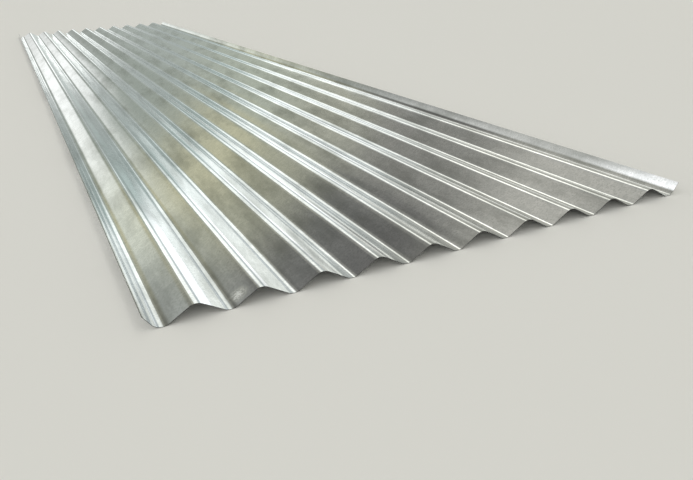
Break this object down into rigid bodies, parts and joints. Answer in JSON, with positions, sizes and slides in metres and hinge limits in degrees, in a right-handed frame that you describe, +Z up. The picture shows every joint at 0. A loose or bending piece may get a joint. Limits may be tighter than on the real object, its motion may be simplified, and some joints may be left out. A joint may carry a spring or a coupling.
{
  "type": "corrugated metal sheet",
  "caption": "Long galvanised steel sheet rolled into even rounded waves that run its full length, with both long edges turned up.",
  "frame": {"origin": "on the floor under the middle of the sheet, at mid length", "axes": "+X across the waves, +Y along the sheet, +Z up"},
  "size_m": [0.8, 3.66, 0.0185],
  "materials": {
    "galvanised_steel": "bright hot-dip zinc, smooth, faint spangle"
  },
  "bodies": {
    "root": {"corrugated_sheet": "galvanised_steel"}
  },
  "joints": []
}
